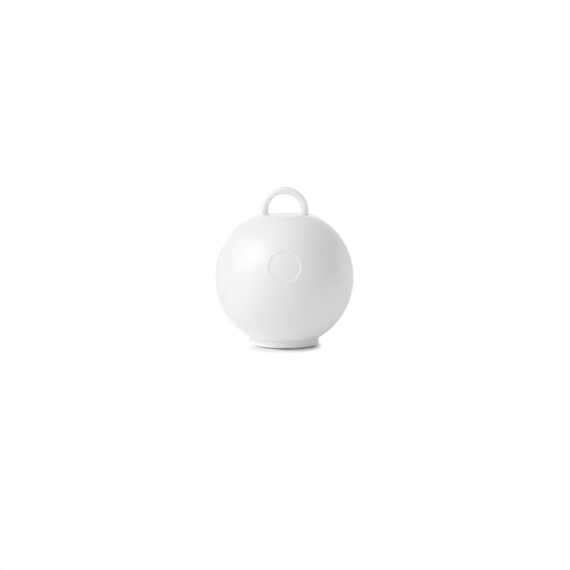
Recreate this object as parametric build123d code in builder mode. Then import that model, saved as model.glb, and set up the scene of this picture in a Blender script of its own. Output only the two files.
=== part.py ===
"""Balloon weight: a sand-filled plastic ball with a tie loop on its flat top and a snap-in foot.

Millimetres. +Z is up, the foot stands on Z = 0 and the front, with the label seat, faces -Y.
"""
import os
from math import asin, cos, sin, sqrt

from build123d import *

# Ball
BALL_DIAMETER = 45.0
WALL = 1.6
TOP_FLAT_DIAMETER = 18.5
TOP_PLATE = 2.0
TOP_EDGE_ROUNDING = 0.3

# Seam round the middle of the ball: a lip on the lower half goes inside the upper half
LIP_HEIGHT = 2.0
LIP_THICKNESS = 0.75
SEAM_CLEARANCE = 0.05

# Blank label seat, a shallow round recess on the front
LABEL_DIAMETER = 10.4
LABEL_DEPTH = 0.2
LABEL_ABOVE_SEAM = 0.45

# Tie loop: a bent rod whose two pegs are staked under the top plate
LOOP_WIDTH = 15.4
LEG_LENGTH = 1.4
ROD_DIAMETER = 2.4
PEG_DIAMETER = 1.8
PEG_CLEARANCE = 0.05
STAKE_DIAMETER = 3.2
STAKE_HEIGHT = 0.9
STAKE_ROUNDING = 0.6

# Foot: the base cap's flange, as wide as the ball where they meet
FOOT_DIAMETER = 22.5
FOOT_HEIGHT = 2.1
FOOT_TAPER = 0.15
FOOT_EDGE_ROUNDING = 0.12
FOOT_RIM_WIDTH = 2.0
FOOT_RECESS = 0.5

# Filling neck in the lower half, and the base cap's spigot that snaps into it
NECK_BORE = 15.0
NECK_WALL = 1.5
NECK_HEIGHT = 4.0
NECK_LEAD_IN = 0.4
SPIGOT_WALL = 1.3
SPIGOT_CLEARANCE = 0.08
SNAP_BITE = 0.3
SNAP_HEIGHT = 0.5
SNAP_LEAD_IN = 0.7
SNAP_PLAY = 0.1

# Sand
SAND_CLEARANCE = 0.1
AIR_SPACE = 3.0


def reach(radius, rise):
    """Distance from the axis to a circle of this radius at this height from its centre."""
    return sqrt(radius**2 - rise**2)


# Heights, from the table up
ball_radius = BALL_DIAMETER / 2
inner_radius = ball_radius - WALL
foot_radius = FOOT_DIAMETER / 2
flat_radius = TOP_FLAT_DIAMETER / 2
landing_z = FOOT_HEIGHT
centre_z = landing_z + reach(ball_radius, foot_radius)
flat_z = centre_z + reach(ball_radius, flat_radius)
ceiling_z = flat_z - TOP_PLATE
floor_z = landing_z + WALL
neck_top_z = landing_z + NECK_HEIGHT
snap_z = neck_top_z + SNAP_PLAY
spigot_top_z = snap_z + SNAP_HEIGHT + SNAP_LEAD_IN
sand_top_z = ceiling_z - AIR_SPACE

# Radii and offsets that two pieces share
lip_radius = inner_radius + LIP_THICKNESS
rod_radius = ROD_DIAMETER / 2
peg_radius = PEG_DIAMETER / 2
peg_x = LOOP_WIDTH / 2 - rod_radius
spring_z = flat_z + LEG_LENGTH
neck_radius = NECK_BORE / 2
neck_outer_radius = neck_radius + NECK_WALL
spigot_radius = neck_radius - SPIGOT_CLEARANCE
spigot_bore_radius = spigot_radius - SPIGOT_WALL
label_radius = LABEL_DIAMETER / 2
label_tilt = asin(label_radius / ball_radius) + asin(LABEL_ABOVE_SEAM / ball_radius)

ball_centre = (0, 0, centre_z)
rod_spacing = 2 * peg_x

# Cutter for the label seat: a cylinder from the ball's centre, less the sphere of the seat's floor
label_plane = Plane(origin=ball_centre, z_dir=(0, -cos(label_tilt), sin(label_tilt)))
with BuildPart() as label_cutter:
    with Locations(label_plane):
        Cylinder(label_radius, BALL_DIAMETER, align=(Align.CENTER, Align.CENTER, Align.MIN))
    with Locations(ball_centre):
        Sphere(ball_radius - LABEL_DEPTH, mode=Mode.SUBTRACT)

# Upper half of the ball, with the flat top plate, the rebate for the lip and the two peg holes
rebate_radius = lip_radius + SEAM_CLEARANCE
rebate_height = LIP_HEIGHT + SEAM_CLEARANCE
rebate_z = centre_z + rebate_height
with BuildPart() as upper_shell:
    with BuildSketch(Plane.XZ):
        with BuildLine():
            dome = RadiusArc((ball_radius, centre_z), (flat_radius, flat_z), -ball_radius)
            plate = Polyline(
                dome @ 1,
                (0, flat_z),
                (0, ceiling_z),
                (reach(inner_radius, ceiling_z - centre_z), ceiling_z),
            )
            inside = RadiusArc(plate @ 1, (reach(inner_radius, rebate_height), rebate_z), inner_radius)
            Polyline(inside @ 1, (rebate_radius, rebate_z), (rebate_radius, centre_z), dome @ 0)
        make_face()
    revolve(axis=Axis.Z)
    fillet(upper_shell.edges().group_by(Axis.Z)[-1], TOP_EDGE_ROUNDING)
    add(label_cutter.part, mode=Mode.SUBTRACT)
    with Locations((0, 0, flat_z)):
        with GridLocations(rod_spacing, 0, 2, 1):
            Hole(peg_radius + PEG_CLEARANCE, depth=TOP_PLATE)
upper_shell.part.label = "upper_shell"

# Lower half of the ball, with the lip, the flat landing for the foot and the filling neck
with BuildPart() as lower_shell:
    with BuildSketch(Plane.XZ):
        with BuildLine():
            bowl = RadiusArc((ball_radius, centre_z), (foot_radius, landing_z), ball_radius)
            neck = Polyline(
                bowl @ 1,
                (neck_radius + NECK_LEAD_IN, landing_z),
                (neck_radius, landing_z + NECK_LEAD_IN),
                (neck_radius, neck_top_z),
                (neck_outer_radius, neck_top_z),
                (neck_outer_radius, floor_z),
                (reach(inner_radius, centre_z - floor_z), floor_z),
            )
            inside = RadiusArc(neck @ 1, (inner_radius, centre_z), -inner_radius)
            Polyline(
                inside @ 1,
                (inner_radius, centre_z + LIP_HEIGHT),
                (lip_radius, centre_z + LIP_HEIGHT),
                (lip_radius, centre_z),
                bowl @ 0,
            )
        make_face()
    revolve(axis=Axis.Z)
lower_shell.part.label = "lower_shell"

# Tie loop: the rod stands on the flat, its pegs go through the plate and end in staked heads
with BuildPart() as tie_loop:
    with BuildLine(Plane.XZ) as rod_path:
        left_leg = Line((-peg_x, flat_z), (-peg_x, spring_z))
        arch = RadiusArc(left_leg @ 1, (peg_x, spring_z), peg_x)
        Line(arch @ 1, (peg_x, flat_z))
    with BuildSketch(Plane(origin=(-peg_x, 0, flat_z))):
        Circle(rod_radius)
    sweep(path=rod_path.wires()[0])
    with Locations((0, 0, flat_z)):
        with GridLocations(rod_spacing, 0, 2, 1):
            Cylinder(peg_radius, TOP_PLATE, align=(Align.CENTER, Align.CENTER, Align.MAX))
    with Locations((0, 0, ceiling_z)):
        with GridLocations(rod_spacing, 0, 2, 1):
            Cylinder(STAKE_DIAMETER / 2, STAKE_HEIGHT, align=(Align.CENTER, Align.CENTER, Align.MAX))
    fillet(tie_loop.edges().group_by(Axis.Z)[0], STAKE_ROUNDING)
tie_loop.part.label = "tie_loop"

# Base cap: the foot that shows, its recessed underside, and the hollow spigot with its snap bead
snap_radius = neck_radius + SNAP_BITE
foot_bottom_radius = foot_radius - FOOT_TAPER
recess_radius = foot_bottom_radius - FOOT_RIM_WIDTH
with BuildPart() as base_cap:
    with BuildSketch(Plane.XZ):
        with BuildLine():
            Polyline(
                (0, FOOT_RECESS),
                (recess_radius, FOOT_RECESS),
                (recess_radius, 0),
                (foot_bottom_radius, 0),
                (foot_radius, landing_z),
                (spigot_radius, landing_z),
                (spigot_radius, snap_z),
                (snap_radius, snap_z),
                (snap_radius, snap_z + SNAP_HEIGHT),
                (snap_radius - SNAP_LEAD_IN, spigot_top_z),
                (spigot_bore_radius, spigot_top_z),
                (spigot_bore_radius, landing_z),
                (0, landing_z),
                close=True,
            )
        make_face()
    revolve(axis=Axis.Z)
    fillet(base_cap.edges().group_by(Axis.Z)[0].sort_by(SortBy.RADIUS)[-1], FOOT_EDGE_ROUNDING)
base_cap.part.label = "base_cap"

# Sand: rests on the shell's floor and inside the cap's spigot, with air left above it
sand_radius = inner_radius - SAND_CLEARANCE
sand_core_radius = spigot_bore_radius - SAND_CLEARANCE
sand_step_z = spigot_top_z + SAND_CLEARANCE
sand_ring_radius = neck_outer_radius + SAND_CLEARANCE
sand_top_radius = reach(sand_radius, sand_top_z - centre_z)
with BuildPart() as sand_fill:
    with BuildSketch(Plane.XZ):
        with BuildLine():
            underside = Polyline(
                (0, landing_z),
                (sand_core_radius, landing_z),
                (sand_core_radius, sand_step_z),
                (sand_ring_radius, sand_step_z),
                (sand_ring_radius, floor_z),
                (reach(sand_radius, centre_z - floor_z), floor_z),
            )
            side = RadiusArc(underside @ 1, (sand_top_radius, sand_top_z), -sand_radius)
            Polyline(side @ 1, (0, sand_top_z), underside @ 0)
        make_face()
    revolve(axis=Axis.Z)
sand_fill.part.label = "sand_fill"

os.makedirs("parts", exist_ok=True)
for piece in (upper_shell, lower_shell, tie_loop, base_cap, sand_fill):
    export_step(piece.part, f"parts/{piece.part.label}.step")
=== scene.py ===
"""Balloon weight: the looks of its ball halves, tie loop, foot and sand. Metres, +Z up, front to -Y."""
from math import acos, asin, cos, pi, radians, sin, sqrt

import bmesh
import bpy
from mathutils import Matrix, Vector, noise


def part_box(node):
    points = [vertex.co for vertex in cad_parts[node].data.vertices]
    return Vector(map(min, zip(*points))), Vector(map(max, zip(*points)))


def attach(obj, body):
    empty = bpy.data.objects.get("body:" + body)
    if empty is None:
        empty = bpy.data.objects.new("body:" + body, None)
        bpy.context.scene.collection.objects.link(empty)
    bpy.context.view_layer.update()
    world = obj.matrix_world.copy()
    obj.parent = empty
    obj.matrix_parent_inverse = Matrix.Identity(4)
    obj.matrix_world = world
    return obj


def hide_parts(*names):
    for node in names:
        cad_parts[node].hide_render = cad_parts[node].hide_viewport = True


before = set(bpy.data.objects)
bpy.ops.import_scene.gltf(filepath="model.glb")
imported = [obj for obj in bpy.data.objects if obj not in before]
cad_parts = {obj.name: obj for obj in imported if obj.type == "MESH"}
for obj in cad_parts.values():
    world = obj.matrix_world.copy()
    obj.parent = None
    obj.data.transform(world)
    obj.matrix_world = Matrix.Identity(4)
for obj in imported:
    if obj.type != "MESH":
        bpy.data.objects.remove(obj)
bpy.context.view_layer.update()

MM = 0.001

# Places and sizes read from the frame
upper_low, upper_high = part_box("upper_shell")
lower_low, lower_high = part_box("lower_shell")
loop_low, loop_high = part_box("tie_loop")
cap_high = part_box("base_cap")[1]
sand_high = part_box("sand_fill")[1]
ball_radius = upper_high.x
seam_z = upper_low.z
flat_z = upper_high.z
landing_z = lower_low.z
lip_top_z = lower_high.z
foot_radius = cap_high.x
spigot_top_z = cap_high.z
loop_top_z = loop_high.z
stake_low_z = loop_low.z
sand_top_z = sand_high.z
ball_centre = Vector((0, 0, seam_z))

# Sizes inside those boxes, the same as the solids have
WALL = 1.6 * MM
TOP_PLATE = 2.0 * MM
LIP_THICKNESS = 0.75 * MM
SEAM_CLEARANCE = 0.05 * MM
LABEL_RADIUS = 5.2 * MM
LABEL_DEPTH = 0.2 * MM
LABEL_ABOVE_SEAM = 0.45 * MM
ROD_RADIUS = 1.2 * MM
LOOP_HALF_WIDTH = 7.7 * MM
PEG_RADIUS = 0.9 * MM
PEG_CLEARANCE = 0.05 * MM
STAKE_RADIUS = 1.6 * MM
FOOT_TAPER = 0.15 * MM
FOOT_RIM_WIDTH = 2.0 * MM
FOOT_RECESS = 0.5 * MM
NECK_RADIUS = 7.5 * MM
NECK_WALL = 1.5 * MM
NECK_HEIGHT = 4.0 * MM
NECK_LEAD_IN = 0.4 * MM
SPIGOT_WALL = 1.3 * MM
SPIGOT_CLEARANCE = 0.08 * MM
SNAP_BITE = 0.3 * MM
SNAP_HEIGHT = 0.5 * MM
SNAP_LEAD_IN = 0.7 * MM
SNAP_PLAY = 0.1 * MM
SAND_CLEARANCE = 0.1 * MM

# Edge roundings that the moulds give, and the bevel profile that makes them round
ROUND_PROFILE = 0.5
FLAT_EDGE = 0.3 * MM
FOOT_EDGE = 0.12 * MM
LEG_EDGE = 0.04 * MM
CREASE_EDGE = 0.04 * MM
SEAM_EDGE = 0.006 * MM
LABEL_EDGE = 0.12 * MM
SMALL_EDGE = 0.12 * MM
STAKE_EDGE = 0.6 * MM

# Width of the label seat's sloping wall
LABEL_WALL = 0.5 * MM

# Fineness of the meshes
TURN_STEPS = 256
ROD_STEPS = 48
ARCH_STEPS = 96
LABEL_STEPS = 160
SAND_TURN_STEPS = 96
SAND_TOP_CUTS = 24
ARC_STEP = radians(1.0)
EDGE_SEGMENTS = 5
SMALL_EDGE_SEGMENTS = 3
SEAM_SEGMENTS = 2

# Angle from which an edge shades as sharp, and distances within which points merge or snap to a cut
SHARP_ANGLE = radians(32)
MERGE = 0.002 * MM
CUT_SNAP = 0.03 * MM

# Margins of plain surface that the label seat and the peg holes are let into
LABEL_RIM = 0.18 * MM
LABEL_PATCH = 0.36 * MM
LOOP_PATCH = 0.6 * MM


def reach(radius, rise):
    """Distance from the axis to a circle of this radius, at this height from its centre."""
    return sqrt(radius**2 - rise**2)


# Worked-out sizes
inner_radius = ball_radius - WALL
flat_radius = reach(ball_radius, flat_z - seam_z)
ceiling_z = flat_z - TOP_PLATE
floor_z = landing_z + WALL
lip_radius = inner_radius + LIP_THICKNESS
peg_x = LOOP_HALF_WIDTH - ROD_RADIUS
spring_z = loop_top_z - LOOP_HALF_WIDTH
label_tilt = asin(LABEL_RADIUS / ball_radius) + asin(LABEL_ABOVE_SEAM / ball_radius)
label_axis = Vector((0, -cos(label_tilt), sin(label_tilt)))
neck_top_z = landing_z + NECK_HEIGHT
neck_outer_radius = NECK_RADIUS + NECK_WALL
spigot_radius = NECK_RADIUS - SPIGOT_CLEARANCE
spigot_bore_radius = spigot_radius - SPIGOT_WALL


# Modelling helpers

def add_line(mesh, *corners, start=None):
    """Joins (distance from the axis, height) corners by straight edges; returns the new vertices."""
    verts = [mesh.verts.new((distance, 0, height)) for distance, height in corners]
    chain = verts if start is None else [start, *verts]
    for first, second in zip(chain, chain[1:]):
        mesh.edges.new((first, second))
    return verts


def add_arc(mesh, start, angle):
    """Turns a vertex about the ball's centre, upwards for a positive angle; returns the arc's last vertex."""
    steps = max(2, round(abs(angle) / ARC_STEP))
    arc = bmesh.ops.spin(mesh, geom=[start], cent=ball_centre, axis=(0, 1, 0), angle=-angle, steps=steps)
    return next(part for part in arc["geom_last"] if isinstance(part, bmesh.types.BMVert))


def round_corners(mesh, corners, size, segments=EDGE_SEGMENTS):
    """Rounds corners of an outline."""
    bmesh.ops.bevel(
        mesh, geom=corners, offset=size, offset_type="OFFSET", segments=segments, profile=ROUND_PROFILE,
        affect="VERTICES",
    )


def turn(mesh, steps=TURN_STEPS):
    """Turns an outline once round the upright axis, and closes its seam and poles."""
    bmesh.ops.spin(
        mesh, geom=mesh.verts[:] + mesh.edges[:], cent=(0, 0, 0), axis=(0, 0, 1), angle=2 * pi,
        steps=steps, use_merge=True,
    )
    bmesh.ops.remove_doubles(mesh, verts=mesh.verts, dist=MERGE)


def open_edges(mesh, test):
    """Open edges of a mesh whose ends both pass a test."""
    return [edge for edge in mesh.edges if edge.is_boundary and all(test(vert.co) for vert in edge.verts)]


def take_in(mesh, other):
    """Adds a second mesh to the first."""
    carrier = bpy.data.meshes.new("carrier")
    other.to_mesh(carrier)
    other.free()
    mesh.from_mesh(carrier)
    bpy.data.meshes.remove(carrier)


def add_object(name, data):
    """Adds an object to the scene."""
    new = bpy.data.objects.new(name, data)
    bpy.context.scene.collection.objects.link(new)
    return new


def make_piece(name, mesh, material):
    """Finishes a mesh as a smooth piece that stands for the CAD node of the same name."""
    bmesh.ops.recalc_face_normals(mesh, faces=mesh.faces)
    for face in mesh.faces:
        face.smooth = True
    data = bpy.data.meshes.new(name)
    mesh.to_mesh(data)
    mesh.free()
    data.set_sharp_from_angle(angle=SHARP_ANGLE)
    data.materials.append(material)
    piece = add_object(name + "_look", data)
    piece.modifiers.new("even_shading", "WEIGHTED_NORMAL").keep_sharp = True
    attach(piece, "root")
    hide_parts(name)


# Upper half of the ball

def label_seat():
    """The blank label seat, an outline turned about its own axis; its outer rim lies on the ball."""
    rim_radius = LABEL_RADIUS + LABEL_RIM
    floor_radius = ball_radius - LABEL_DEPTH
    wall_foot = LABEL_RADIUS - LABEL_WALL
    seat = bmesh.new()
    outline = add_line(
        seat,
        (rim_radius, seam_z + reach(ball_radius, rim_radius)),
        (LABEL_RADIUS, seam_z + reach(ball_radius, LABEL_RADIUS)),
        (wall_foot, seam_z + reach(floor_radius, wall_foot)),
    )
    add_arc(seat, outline[-1], asin(wall_foot / floor_radius))
    round_corners(seat, outline[1:], LABEL_EDGE)
    turn(seat, LABEL_STEPS)
    tip = Matrix.Rotation(pi / 2 - label_tilt, 3, "X")
    bmesh.ops.rotate(seat, verts=seat.verts, cent=ball_centre, matrix=tip)
    return seat


def set_label_seat(mesh):
    """Cuts a round patch out of the dome and bridges the label seat into it."""
    cut = ball_centre + label_axis * reach(ball_radius, LABEL_RADIUS + LABEL_PATCH)
    bmesh.ops.bisect_plane(
        mesh, geom=mesh.verts[:] + mesh.edges[:] + mesh.faces[:], dist=CUT_SNAP, plane_co=cut,
        plane_no=label_axis,
    )
    patch = [face for face in mesh.faces if (face.calc_center_median() - cut).dot(label_axis) > 0]
    bmesh.ops.delete(mesh, geom=patch, context="FACES")
    take_in(mesh, label_seat())
    rims = open_edges(mesh, lambda place: abs((place - cut).dot(label_axis)) < LABEL_PATCH)
    bmesh.ops.bridge_loops(mesh, edges=rims)


def drill_top_plate(mesh):
    """Fills the flat and the ceiling round two peg holes, and lines the holes."""
    hole_radius = PEG_RADIUS + PEG_CLEARANCE
    for level in (flat_z, ceiling_z):
        for side in (-1, 1):
            place = Matrix.Translation((side * peg_x, 0, level))
            bmesh.ops.create_circle(mesh, segments=ROD_STEPS, radius=hole_radius, matrix=place)
        loose = [
            edge for edge in mesh.edges
            if not edge.link_faces or edge.is_boundary
            if all(abs(vert.co.z - level) < MERGE for vert in edge.verts)
        ]
        bmesh.ops.triangle_fill(mesh, use_beauty=True, use_dissolve=False, edges=loose)
    for side in (-1, 1):
        hole = Vector((side * peg_x, 0))
        rims = open_edges(mesh, lambda place: (place.xy - hole).length < hole_radius + MERGE)
        bmesh.ops.bridge_loops(mesh, edges=rims)


def make_upper_shell(material):
    """The dome and its flat top plate, with the rebate in its rim, the label seat and the peg holes."""
    plate_radius = LOOP_HALF_WIDTH + LOOP_PATCH
    rebate_height = lip_top_z - seam_z + SEAM_CLEARANCE
    rebate_radius = lip_radius + SEAM_CLEARANCE
    rebate_z = seam_z + rebate_height
    ceiling_rise = ceiling_z - seam_z
    mesh = bmesh.new()
    seam_corner, = add_line(mesh, (ball_radius, seam_z))
    flat_corner = add_arc(mesh, seam_corner, acos(flat_radius / ball_radius))
    add_line(mesh, (plate_radius, flat_z), start=flat_corner)
    ceiling = add_line(mesh, (plate_radius, ceiling_z), (reach(inner_radius, ceiling_rise), ceiling_z))
    inside_sweep = asin(ceiling_rise / inner_radius) - asin(rebate_height / inner_radius)
    inside_end = add_arc(mesh, ceiling[-1], -inside_sweep)
    rebate = add_line(mesh, (rebate_radius, rebate_z), (rebate_radius, seam_z), start=inside_end)
    mesh.edges.new((rebate[-1], seam_corner))
    round_corners(mesh, [flat_corner], FLAT_EDGE)
    round_corners(mesh, [seam_corner], SEAM_EDGE, SEAM_SEGMENTS)
    turn(mesh)
    set_label_seat(mesh)
    drill_top_plate(mesh)
    make_piece("upper_shell", mesh, material)


# Lower half of the ball

def make_lower_shell(material):
    """The bowl with the lip on its rim, the flat landing for the foot and the filling neck."""
    mesh = bmesh.new()
    seam_corner, = add_line(mesh, (ball_radius, seam_z))
    landing_corner = add_arc(mesh, seam_corner, -acos(foot_radius / ball_radius))
    neck = add_line(
        mesh,
        (NECK_RADIUS + NECK_LEAD_IN, landing_z),
        (NECK_RADIUS, landing_z + NECK_LEAD_IN),
        (NECK_RADIUS, neck_top_z),
        (neck_outer_radius, neck_top_z),
        (neck_outer_radius, floor_z),
        (reach(inner_radius, seam_z - floor_z), floor_z),
        start=landing_corner,
    )
    inside_end = add_arc(mesh, neck[-1], asin((seam_z - floor_z) / inner_radius))
    lip = add_line(
        mesh, (inner_radius, lip_top_z), (lip_radius, lip_top_z), (lip_radius, seam_z), start=inside_end
    )
    mesh.edges.new((lip[-1], seam_corner))
    round_corners(mesh, [landing_corner], CREASE_EDGE, SMALL_EDGE_SEGMENTS)
    round_corners(mesh, [seam_corner], SEAM_EDGE, SEAM_SEGMENTS)
    round_corners(mesh, neck[2:4] + lip[:2], SMALL_EDGE, SMALL_EDGE_SEGMENTS)
    turn(mesh)
    make_piece("lower_shell", mesh, material)


# Tie loop

def make_tie_loop(material):
    """A leg with its peg and staked head, mirrored, and the arch from one leg to the other."""
    mesh = bmesh.new()
    leg = add_line(
        mesh,
        (0, stake_low_z),
        (STAKE_RADIUS, stake_low_z),
        (STAKE_RADIUS, ceiling_z),
        (PEG_RADIUS, ceiling_z),
        (PEG_RADIUS, flat_z),
        (ROD_RADIUS, flat_z),
        (ROD_RADIUS, spring_z),
    )
    round_corners(mesh, [leg[1]], STAKE_EDGE)
    round_corners(mesh, [leg[5]], LEG_EDGE, SMALL_EDGE_SEGMENTS)
    turn(mesh, ROD_STEPS)
    bmesh.ops.translate(mesh, verts=mesh.verts, vec=(-peg_x, 0, 0))
    bmesh.ops.mirror(mesh, geom=mesh.verts[:] + mesh.edges[:] + mesh.faces[:], axis="X", merge_dist=MERGE)
    left_ring = open_edges(mesh, lambda place: place.x < 0)
    ring_verts = list(dict.fromkeys(vert for edge in left_ring for vert in edge.verts))
    bmesh.ops.spin(
        mesh, geom=ring_verts + left_ring, cent=(0, 0, spring_z), axis=(0, 1, 0), angle=pi, steps=ARCH_STEPS
    )
    bmesh.ops.remove_doubles(mesh, verts=mesh.verts, dist=MERGE)
    make_piece("tie_loop", mesh, material)


# Base cap

def make_base_cap(material):
    """The foot with its recessed underside, and the hollow spigot with its snap bead."""
    foot_bottom = foot_radius - FOOT_TAPER
    recess_radius = foot_bottom - FOOT_RIM_WIDTH
    snap_z = neck_top_z + SNAP_PLAY
    snap_radius = NECK_RADIUS + SNAP_BITE
    mesh = bmesh.new()
    corners = add_line(
        mesh,
        (0, FOOT_RECESS),
        (recess_radius, FOOT_RECESS),
        (recess_radius, 0),
        (foot_bottom, 0),
        (foot_radius, landing_z),
        (spigot_radius, landing_z),
        (spigot_radius, snap_z),
        (snap_radius, snap_z),
        (snap_radius, snap_z + SNAP_HEIGHT),
        (snap_radius - SNAP_LEAD_IN, spigot_top_z),
        (spigot_bore_radius, spigot_top_z),
        (spigot_bore_radius, landing_z),
        (0, landing_z),
    )
    round_corners(mesh, [corners[3]], FOOT_EDGE)
    round_corners(mesh, [corners[4]], CREASE_EDGE, SMALL_EDGE_SEGMENTS)
    round_corners(mesh, corners[1:3] + corners[7:9], SMALL_EDGE, SMALL_EDGE_SEGMENTS)
    turn(mesh)
    make_piece("base_cap", mesh, material)


# Sand

SAND_DIMPLES = 0.5 * MM
SAND_DIMPLE_SIZE = 5.0 * MM


def make_sand_fill(material):
    """Sand round the neck, in the spigot and up the ball, with shallow dimples in its top."""
    sand_radius = inner_radius - SAND_CLEARANCE
    core_radius = spigot_bore_radius - SAND_CLEARANCE
    step_z = spigot_top_z + SAND_CLEARANCE
    ring_radius = neck_outer_radius + SAND_CLEARANCE
    mesh = bmesh.new()
    underside = add_line(
        mesh,
        (0, landing_z),
        (core_radius, landing_z),
        (core_radius, step_z),
        (ring_radius, step_z),
        (ring_radius, floor_z),
        (reach(sand_radius, seam_z - floor_z), floor_z),
    )
    sweep = asin((seam_z - floor_z) / sand_radius) + asin((sand_top_z - seam_z) / sand_radius)
    shore = add_arc(mesh, underside[-1], sweep)
    add_line(mesh, (0, sand_top_z), start=shore)
    bmesh.ops.subdivide_edges(mesh, edges=[shore.link_edges[-1]], cuts=SAND_TOP_CUTS)
    turn(mesh, SAND_TURN_STEPS)
    for vert in mesh.verts:
        if vert.co.z > sand_top_z - MERGE:
            vert.co.z -= SAND_DIMPLES * (1 + noise.noise(vert.co / SAND_DIMPLE_SIZE)) / 2
    make_piece("sand_fill", mesh, material)


# Shader helpers

def add_node(tree, kind, inputs=(), **settings):
    """Adds a shader node; an input takes a value or another node's output."""
    new = tree.nodes.new("ShaderNode" + kind)
    for name, value in settings.items():
        setattr(new, name, value)
    for name, value in dict(inputs).items():
        if isinstance(value, bpy.types.NodeSocket):
            tree.links.new(value, new.inputs[name])
        else:
            new.inputs[name].default_value = value
    return new


def object_place(tree):
    """Place on the piece, in metres."""
    return add_node(tree, "TexCoord").outputs["Object"]


def noise_value(tree, size, place=None):
    """Soft noise whose spots have about this size in metres."""
    vector = object_place(tree) if place is None else place
    return add_node(tree, "TexNoise", {"Vector": vector, "Scale": 1 / size}).outputs["Fac"]


def arithmetic(tree, operation, first, second=0.0):
    """One sum on two values, or on the first alone."""
    return add_node(tree, "Math", {0: first, 1: second}, operation=operation).outputs["Value"]


def fit_range(tree, value, old, new, smooth=False):
    """Moves a value from one range to another, and keeps it inside the new one."""
    inputs = {"Value": value, "From Min": old[0], "From Max": old[1], "To Min": new[0], "To Max": new[1]}
    kind = "SMOOTHSTEP" if smooth else "LINEAR"
    return add_node(tree, "MapRange", inputs, interpolation_type=kind, clamp=True).outputs["Result"]


def colour_between(tree, mask, first, second):
    """Goes from the first colour to the second as a mask goes from 0 to 1."""
    ramp = add_node(tree, "ValToRGB", {"Fac": mask})
    ramp.color_ramp.elements[0].color = (*first, 1)
    ramp.color_ramp.elements[1].color = (*second, 1)
    return ramp.outputs["Color"]


def start_group(name, inputs, outputs):
    """Starts a shader node group of plain values; returns it with its input and output nodes."""
    group = bpy.data.node_groups.new(name, "ShaderNodeTree")
    for label in inputs:
        group.interface.new_socket(label, in_out="INPUT", socket_type="NodeSocketFloat")
    for label in outputs:
        group.interface.new_socket(label, in_out="OUTPUT", socket_type="NodeSocketFloat")
    return group, group.nodes.new("NodeGroupInput"), group.nodes.new("NodeGroupOutput")


def start_material(name):
    """Starts a material; returns it with its node tree and its shader."""
    material = bpy.data.materials.new(name)
    material.use_nodes = True
    tree = material.node_tree
    return material, tree, tree.nodes["Principled BSDF"]


# Effects that the plastics share: sizes of spots and lines, and ranges of the noise that they start from
NOISE_MIDDLE = 0.5
NOISE_SPREAD = (0.35, 0.65)
GRAIN_DETAIL = 3.0
GRAIN_RUGGEDNESS = 0.6
PATCH_SIZE = 9.0 * MM
# Spot size and unevenness of the dirt and painted shade along creases
DIRT_AND_SHADE_SPOT = 0.8 * MM
DIRT_AND_SHADE_UNEVENNESS = (0.55, 1.0)
HAIRLINE_SIZE = 2.5 * MM
HAIRLINE_STRETCH = 14.0
HAIRLINE_WIDTH = 0.012
SCUFF_SPOT = 7.0 * MM
SCUFF_SPREAD = (0.54, 0.66)


def moulded_grain():
    """Fine grain of a spark-eroded mould, and broad patches where the plastic set a little differently."""
    group, given, result = start_group("moulded_grain", ["Grain Size"], ["Grain", "Patches"])
    fineness = arithmetic(group, "DIVIDE", 1.0, given.outputs["Grain Size"])
    grain_inputs = {
        "Vector": object_place(group),
        "Scale": fineness,
        "Detail": GRAIN_DETAIL,
        "Roughness": GRAIN_RUGGEDNESS,
    }
    grain = add_node(group, "TexNoise", grain_inputs)
    group.links.new(grain.outputs["Fac"], result.inputs["Grain"])
    group.links.new(noise_value(group, PATCH_SIZE), result.inputs["Patches"])
    return group


def crease_dirt_and_shade():
    """Darkening within a reach of one level, such as a joint line, unevenly: dirt, and painted shade where
    the parts meet.
    """
    group, given, result = start_group("crease_dirt_and_shade", ["Level", "Reach"], ["Grime"])
    height = add_node(group, "SeparateXYZ", {"Vector": object_place(group)}).outputs["Z"]
    away = arithmetic(group, "SUBTRACT", height, given.outputs["Level"])
    share = arithmetic(group, "DIVIDE", arithmetic(group, "ABSOLUTE", away), given.outputs["Reach"])
    band = fit_range(group, share, (0.0, 1.0), (1.0, 0.0), smooth=True)
    spots = fit_range(group, noise_value(group, DIRT_AND_SHADE_SPOT), NOISE_SPREAD, DIRT_AND_SHADE_UNEVENNESS)
    group.links.new(arithmetic(group, "MULTIPLY", band, spots), result.inputs["Grime"])
    return group


def handling_scuffs():
    """Hairline rubs from handling, in a few patches only."""
    group, given, result = start_group("handling_scuffs", ["Turn"], ["Scuffs"])
    tilt = add_node(group, "CombineXYZ", {"X": given.outputs["Turn"], "Z": given.outputs["Turn"]})
    stretch = (1.0, HAIRLINE_STRETCH, HAIRLINE_STRETCH)
    lay = {"Vector": object_place(group), "Rotation": tilt.outputs["Vector"], "Scale": stretch}
    place = add_node(group, "Mapping", lay).outputs["Vector"]
    level = noise_value(group, HAIRLINE_SIZE, place)
    away = arithmetic(group, "ABSOLUTE", arithmetic(group, "SUBTRACT", level, NOISE_MIDDLE))
    lines = fit_range(group, away, (0.0, HAIRLINE_WIDTH), (1.0, 0.0), smooth=True)
    patches = fit_range(group, noise_value(group, SCUFF_SPOT), SCUFF_SPREAD, (0.0, 1.0), smooth=True)
    group.links.new(arithmetic(group, "MULTIPLY", lines, patches), result.inputs["Scuffs"])
    return group


grain_group = moulded_grain()
dirt_and_shade_group = crease_dirt_and_shade()
scuff_group = handling_scuffs()

# Plastics
GRAIN_SIZE = 0.28 * MM
GRAIN_HEIGHT = 0.0025 * MM
# Colour of the dirt and painted shade in creases
DIRT_AND_SHADE_COLOUR = (0.42, 0.41, 0.39)

# Line of dirt and painted shade between the ball and the foot: level, reach and depth
FOOT_CREASE = (landing_z, 0.25 * MM, 0.05)


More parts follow.
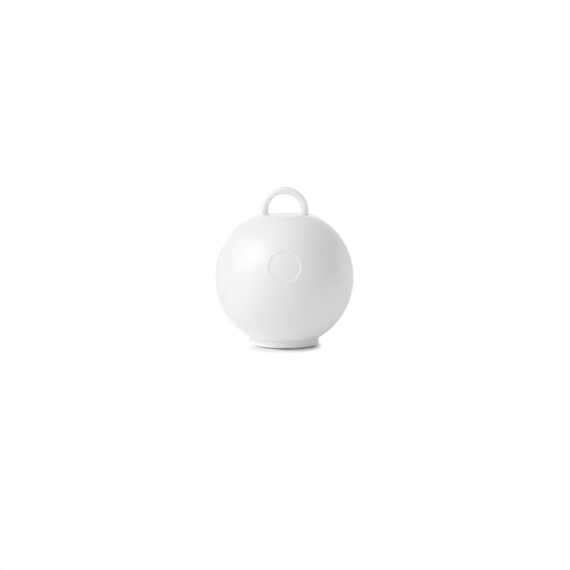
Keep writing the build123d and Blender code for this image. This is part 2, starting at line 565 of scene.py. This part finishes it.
def satin_plastic(name, whites, roughness, creases, scuff_turn, scuff_gloss):
    """White satin plastic.

    whites and roughness give their two ends, and creases the level, reach and depth of each line of dirt and
    painted shade.
    """
    material, tree, shader = start_material(name)
    grain = add_node(tree, "Group", {"Grain Size": GRAIN_SIZE}, node_tree=grain_group)
    scuffs = add_node(tree, "Group", {"Turn": scuff_turn}, node_tree=scuff_group)
    patches = fit_range(tree, grain.outputs["Patches"], NOISE_SPREAD, (0.0, 1.0))
    colour = colour_between(tree, patches, *whites)
    # Each crease darkens the colour: dirt, and painted shade where the parts meet
    for level, spread, depth in creases:
        dirt_and_shade = add_node(tree, "Group", {"Level": level, "Reach": spread}, node_tree=dirt_and_shade_group)
        darkening = arithmetic(tree, "MULTIPLY", dirt_and_shade.outputs["Grime"], depth)
        mix = add_node(tree, "MixRGB", {"Fac": darkening, "Color1": colour, "Color2": (*DIRT_AND_SHADE_COLOUR, 1)})
        colour = mix.outputs["Color"]
    tree.links.new(colour, shader.inputs["Base Color"])
    satin = fit_range(tree, grain.outputs["Patches"], NOISE_SPREAD, roughness)
    rubbed = arithmetic(tree, "MULTIPLY", scuffs.outputs["Scuffs"], scuff_gloss)
    tree.links.new(arithmetic(tree, "SUBTRACT", satin, rubbed), shader.inputs["Roughness"])
    worn = arithmetic(tree, "SUBTRACT", grain.outputs["Grain"], scuffs.outputs["Scuffs"])
    bump = add_node(tree, "Bump", {"Height": worn, "Distance": GRAIN_HEIGHT, "Strength": 1.0})
    tree.links.new(bump.outputs["Normal"], shader.inputs["Normal"])
    return material


ball_white = satin_plastic(
    "ball_white",
    whites=((0.86, 0.862, 0.86), (0.88, 0.882, 0.88)),
    roughness=(0.40, 0.48),
    creases=(FOOT_CREASE,),
    scuff_turn=0.6,
    scuff_gloss=0.1,
)
loop_white = satin_plastic(
    "loop_white",
    whites=((0.80, 0.802, 0.80), (0.82, 0.822, 0.82)),
    roughness=(0.5, 0.58),
    creases=(),
    scuff_turn=1.3,
    scuff_gloss=0.12,
)
foot_white = satin_plastic(
    "foot_white",
    whites=((0.85, 0.852, 0.85), (0.87, 0.872, 0.87)),
    roughness=(0.42, 0.5),
    creases=(FOOT_CREASE,),
    scuff_turn=0.2,
    scuff_gloss=0.1,
)

# The thin rod lets light through, but hardly at the bases of its legs, which get a lighter white there as
# painted light
ROD_SCATTER = 3.0 * MM
ROD_SHINE = 0.3
PAINTED_LIGHT_WHITE = (0.92, 0.922, 0.92)
PAINTED_LIGHT_RISE = 2.0 * MM


def let_light_through_and_paint_light(material):
    """Makes a plastic translucent from the flat up, and paints it a lighter white where it isn't yet, as
    painted light.
    """
    tree = material.node_tree
    shader = tree.nodes["Principled BSDF"]
    height = add_node(tree, "SeparateXYZ", {"Vector": object_place(tree)}).outputs["Z"]
    clear = fit_range(tree, height, (flat_z, flat_z + PAINTED_LIGHT_RISE), (0.0, 1.0), smooth=True)
    plain = shader.inputs["Base Color"].links[0].from_socket
    # Painted light: a lighter white at the legs' bases lifts their shade
    colour = add_node(tree, "MixRGB", {"Fac": clear, "Color1": (*PAINTED_LIGHT_WHITE, 1), "Color2": plain})
    tree.links.new(colour.outputs["Color"], shader.inputs["Base Color"])
    tree.links.new(clear, shader.inputs["Subsurface Weight"])
    shader.inputs["Subsurface Radius"].default_value = (1, 1, 1)
    shader.inputs["Subsurface Scale"].default_value = ROD_SCATTER
    shader.inputs["Specular IOR Level"].default_value = ROD_SHINE


let_light_through_and_paint_light(loop_white)

# Sand grains: size, height, the share of a grain's size over which its top falls off, and colours by chance
SAND_GRAIN = 0.45 * MM
SAND_GRAIN_HEIGHT = 0.1 * MM
SAND_GRAIN_SLOPE = 0.7
SAND_ROUGHNESS = (0.7, 1.0)
SAND_COLOURS = (
    (0.0, (0.36, 0.25, 0.15)),
    (0.4, (0.55, 0.42, 0.27)),
    (0.75, (0.66, 0.55, 0.4)),
    (1.0, (0.8, 0.74, 0.64)),
)


def loose_sand():
    """Dry sand whose grains differ in colour and roughness."""
    material, tree, shader = start_material("loose_sand")
    grains = add_node(tree, "TexVoronoi", {"Vector": object_place(tree), "Scale": 1 / SAND_GRAIN})
    chance = add_node(tree, "SeparateColor", {"Color": grains.outputs["Color"]})
    ramp = add_node(tree, "ValToRGB", {"Fac": chance.outputs["Red"]})
    for position, _ in SAND_COLOURS[1:-1]:
        ramp.color_ramp.elements.new(position)
    for element, (position, colour) in zip(ramp.color_ramp.elements, SAND_COLOURS):
        element.position = position
        element.color = (*colour, 1)
    tree.links.new(ramp.outputs["Color"], shader.inputs["Base Color"])
    rough = fit_range(tree, chance.outputs["Green"], (0.0, 1.0), SAND_ROUGHNESS)
    tree.links.new(rough, shader.inputs["Roughness"])
    tops = fit_range(tree, grains.outputs["Distance"], (0.0, SAND_GRAIN_SLOPE), (1.0, 0.0))
    bump = add_node(tree, "Bump", {"Height": tops, "Distance": SAND_GRAIN_HEIGHT, "Strength": 1.0})
    tree.links.new(bump.outputs["Normal"], shader.inputs["Normal"])
    return material


make_upper_shell(ball_white)
make_lower_shell(ball_white)
make_tie_loop(loop_white)
make_base_cap(foot_white)
make_sand_fill(loose_sand())

# Camera at the photograph's viewing angle
CAMERA_DISTANCE = 450 * MM
CAMERA_ELEVATION = radians(6.3)
AIM_BELOW_CENTRE = 2.5 * MM
AIM_RIGHT = 0.15 * MM
LENS = 87.0
SENSOR = 36.0


def place_camera():
    """A camera in front and a little above, aimed just under the ball's centre."""
    data = bpy.data.cameras.new("camera")
    data.lens = LENS
    data.sensor_width = SENSOR
    camera = add_object("camera", data)
    aside = Vector((AIM_RIGHT, 0, 0))
    back = Vector((0, -cos(CAMERA_ELEVATION), sin(CAMERA_ELEVATION)))
    camera.location = ball_centre + aside + back * CAMERA_DISTANCE
    aim = ball_centre + aside - Vector((0, 0, AIM_BELOW_CENTRE))
    camera.rotation_euler = (aim - camera.location).to_track_quat("-Z", "Y").to_euler()
    bpy.context.scene.camera = camera


place_camera()

# Studio: a lit white floor, a white surround and soft lights
WHITE = (1, 1, 1, 1)
FLOOR_RADIUS = 800 * MM
FLOOR_WHITE = 0.85
SURROUND = 0.34

# Glow of the floor: it starts past the foot's edge, and grows far out to the right
FOOT_GAP = (10.9 * MM, 11.5 * MM)
FLOOR_GLOW = 0.12
RIGHT_GLOW = 0.59
RIGHT_GLOW_SIDE = (40 * MM, 150 * MM)

# More glow on the left, in a pool round the foot and along the foot's edge
LEFT_GLOW_SIDE = (-14 * MM, 14 * MM)
LEFT_GLOW = 0.125
LEFT_GLOW_REACH = (18 * MM, 24 * MM)
EDGE_GLOW = 0.37
EDGE_GLOW_REACH = (11.2 * MM, 12.2 * MM)

# Soft shadows painted on the floor for the camera: centre, distances where the shadow is full and gone, depth
FLOOR_SHADOWS = (
    ((1.2 * MM, -4.4 * MM, 0), (8.4 * MM, 11.8 * MM), 0.71),
    ((0, -9.3 * MM, 0), (8.4 * MM, 13.1 * MM), 0.165),
    ((4.2 * MM, -10.5 * MM, 0), (5.0 * MM, 8.7 * MM), 0.29),
    ((0, 5 * MM, 0), (4.0 * MM, 13.0 * MM), 0.6),
)

# Soft lights: turn from the front to the left and height in degrees, distance, width, height, power in watts
SOFTBOXES = (
    ("key", 58, 38, 500 * MM, 160 * MM, 300 * MM, 1.07),
    ("left_panel", 60, 15, 800 * MM, 700 * MM, 700 * MM, 0.78),
    ("front_panel", 0, 20, 800 * MM, 700 * MM, 700 * MM, 0.50),
    ("overhead", 0, 90, 500 * MM, 310 * MM, 310 * MM, 0.37),
    ("right_rim", -120, 8, 500 * MM, 310 * MM, 310 * MM, 0.30),
    ("back", 180, 35, 500 * MM, 310 * MM, 310 * MM, 0.34),
    ("back_right", -165, 20, 500 * MM, 200 * MM, 200 * MM, 0.08),
    ("backdrop", 180, 8, 900 * MM, 1800 * MM, 500 * MM, 1.36),
)


def split_rays(tree, output, others, camera):
    """Gives one shader to the camera's own rays and another to all other rays."""
    seen = add_node(tree, "LightPath").outputs["Is Camera Ray"]
    mix = add_node(tree, "MixShader", {0: seen, 1: others, 2: camera})
    tree.links.new(mix.outputs["Shader"], tree.nodes[output].inputs["Surface"])


def floor_glow(tree, place):
    """Strength of the floor's glow."""
    out = add_node(tree, "VectorMath", {0: place}, operation="LENGTH").outputs["Value"]
    aside = add_node(tree, "SeparateXYZ", {"Vector": place}).outputs["X"]
    left = fit_range(tree, aside, LEFT_GLOW_SIDE, (1.0, 0.0), smooth=True)
    pool = fit_range(tree, out, LEFT_GLOW_REACH, (LEFT_GLOW, 0.0), smooth=True)
    edge = fit_range(tree, out, EDGE_GLOW_REACH, (EDGE_GLOW, 0.0), smooth=True)
    left_glow = arithmetic(tree, "MULTIPLY", left, arithmetic(tree, "ADD", pool, edge))
    even_glow = fit_range(tree, aside, RIGHT_GLOW_SIDE, (FLOOR_GLOW, RIGHT_GLOW), smooth=True)
    past_foot = fit_range(tree, out, FOOT_GAP, (0.0, 1.0), smooth=True)
    return arithmetic(tree, "MULTIPLY", arithmetic(tree, "ADD", left_glow, even_glow), past_foot)


def floor_brightness(tree, place):
    """Brightness of the floor for the camera: white, less the soft painted shadows."""
    brightness = 1.0
    for centre, reach_range, depth in FLOOR_SHADOWS:
        away = add_node(tree, "VectorMath", {0: place, 1: centre}, operation="DISTANCE").outputs["Value"]
        shade = fit_range(tree, away, reach_range, (1 - depth, 1.0), smooth=True)
        brightness = arithmetic(tree, "MULTIPLY", shade, brightness)
    return brightness


def floor_material():
    """White that lights the piece from below; the camera sees plain white with soft painted shadows."""
    material, tree, lit = start_material("floor_white")
    place = object_place(tree)
    lit.inputs["Base Color"].default_value = (FLOOR_WHITE, FLOOR_WHITE, FLOOR_WHITE, 1)
    lit.inputs["Roughness"].default_value = 1.0
    lit.inputs["Specular IOR Level"].default_value = 0.0
    lit.inputs["Emission Color"].default_value = WHITE
    tree.links.new(floor_glow(tree, place), lit.inputs["Emission Strength"])
    white = add_node(tree, "Emission", {"Strength": floor_brightness(tree, place)})
    split_rays(tree, "Material Output", others=lit.outputs["BSDF"], camera=white.outputs["Emission"])
    return material


def make_floor():
    """A large round floor that the foot stands on."""
    mesh = bmesh.new()
    bmesh.ops.create_circle(mesh, cap_ends=True, segments=TURN_STEPS, radius=FLOOR_RADIUS)
    data = bpy.data.meshes.new("floor")
    mesh.to_mesh(data)
    mesh.free()
    data.materials.append(floor_material())
    floor = add_object("floor", data)


def make_surround():
    """White all round for the camera, dimmer as a light."""
    world = bpy.data.worlds.new("studio")
    world.use_nodes = True
    tree = world.node_tree
    dim = tree.nodes["Background"]
    dim.inputs["Color"].default_value = WHITE
    dim.inputs["Strength"].default_value = SURROUND
    bright = add_node(tree, "Background", {"Color": WHITE, "Strength": 1.0})
    split_rays(tree, "World Output", others=dim.outputs["Background"], camera=bright.outputs["Background"])
    bpy.context.scene.world = world


def towards(turn_left, rise):
    """Direction from the ball, turned from the front to the left and raised, in degrees."""
    aside = radians(turn_left)
    up = radians(rise)
    return Vector((-sin(aside) * cos(up), -cos(aside) * cos(up), sin(up)))


def add_softbox(name, turn_left, rise, distance, width, height, power):
    """A soft light that faces the ball and isn't seen itself."""
    data = bpy.data.lights.new(name, "AREA")
    data.shape = "RECTANGLE"
    data.size = width
    data.size_y = height
    data.energy = power
    lamp = add_object(name, data)
    lamp.location = ball_centre + towards(turn_left, rise) * distance
    lamp.rotation_euler = (ball_centre - lamp.location).to_track_quat("-Z", "Y").to_euler()
    lamp.visible_camera = False


make_floor()
make_surround()
for softbox in SOFTBOXES:
    add_softbox(*softbox)
bpy.context.scene.view_settings.view_transform = "Standard"
